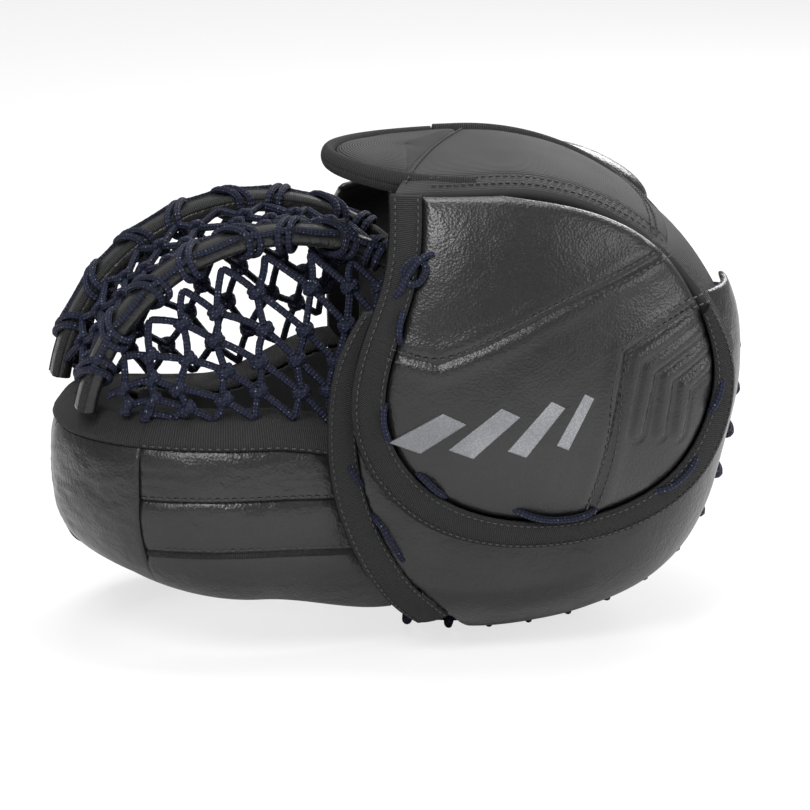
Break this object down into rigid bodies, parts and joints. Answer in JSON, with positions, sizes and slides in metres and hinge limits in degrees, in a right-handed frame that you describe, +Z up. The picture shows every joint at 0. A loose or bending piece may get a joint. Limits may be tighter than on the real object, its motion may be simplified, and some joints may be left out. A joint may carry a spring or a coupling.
{
  "type": "goalkeeper catching glove",
  "caption": "Padded leather catching glove with a laced net pocket, a domed cuff, a closing thumb wall and a wrist strap.",
  "frame": {"origin": "centre of the bounding box's bottom face, on the surface that the glove rests on", "axes": "+X from the tip of the pocket to the cuff, +Y from the thumb wall to the finger wall, +Z up with the palm facing down"},
  "size_m": [0.415, 0.2788, 0.3],
  "materials": {
    "black_leather": "semi-gloss grain",
    "panel_leather": "semi-gloss grain with stitched silver-grey stripes",
    "gloss_leather": "glossy",
    "ribbed_cloth": "ribbed nylon",
    "webbing": "ribbed webbing",
    "braided_lace": "braided cord with pale flecks",
    "foam": "closed-cell foam",
    "stiff_board": "matte",
    "lining": "knitted lining",
    "hook_and_loop": "hook-and-loop pile",
    "pin_metal": "satin"
  },
  "bodies": {
    "hand": {"crotch_gussets": "lining", "cuff_laces": "braided_lace", "far_ridge_strip": "black_leather", "far_shell": "black_leather", "finger_board": "stiff_board", "finger_edge_binding": "webbing", "finger_edge_pad": "foam", "finger_foam_pad": "foam", "finger_liner": "lining", "finger_lower_band": "black_leather", "finger_piping": "webbing", "finger_side_band": "black_leather", "finger_side_net": "braided_lace", "finger_tip_pad": "foam", "finger_upper_band": "black_leather", "front_edge_binding": "webbing", "front_foam": "foam", "front_laces": "braided_lace", "front_leather": "panel_leather", "index_finger_stall": "lining", "lip_binding": "webbing", "little_finger_stall": "lining", "middle_finger_stall": "lining", "middle_net": "braided_lace", "near_ridge_strip": "black_leather", "near_shell": "black_leather", "near_shell_binding": "webbing", "palm_board": "stiff_board", "palm_foam": "foam", "palm_leather": "black_leather", "pull_tab": "webbing", "ridge_cores": "foam", "ridge_wraps": "braided_lace", "rim_binding": "webbing", "ring_finger_stall": "lining", "side_gusset": "ribbed_cloth", "strap_anchor": "webbing", "strap_loop_patch": "hook_and_loop", "strap_pin": "pin_metal", "tip_edge_binding": "webbing", "tip_gusset_cover": "ribbed_cloth", "tip_gusset_foam": "foam", "tongue_binding": "webbing", "tongue_pad": "ribbed_cloth", "top_panel": "ribbed_cloth", "wrist_pad": "gloss_leather"},
    "thumb": {"thumb_board": "stiff_board", "thumb_edge_binding": "webbing", "thumb_edge_pads": "foam", "thumb_foam_pad": "foam", "thumb_liner": "lining", "thumb_lower_band": "black_leather", "thumb_piping": "webbing", "thumb_side_band": "black_leather", "thumb_side_net": "braided_lace", "thumb_stall": "lining", "thumb_upper_band": "black_leather"},
    "strap": {"wrist_strap": "webbing", "strap_hook_patch": "hook_and_loop"}
  },
  "joints": [
    {"name": "thumb_close", "type": "hinge", "parent": "hand", "child": "thumb", "pos_m": [-0.09437, -0.0434, 0.15], "axis": [1, 0, 0], "range_deg": [0, 25], "stiffness_Nm_per_rad": 1.5, "springref_deg": -20.05, "deforming": ["thumb_side_net", "tip_gusset_cover", "tip_gusset_foam", "tip_edge_binding"]},
    {"name": "strap_open", "type": "hinge", "parent": "hand", "child": "strap", "pos_m": [0.14313, 0.135, 0.15], "axis": [0, 0, -1], "range_deg": [0, 100]}
  ]
}
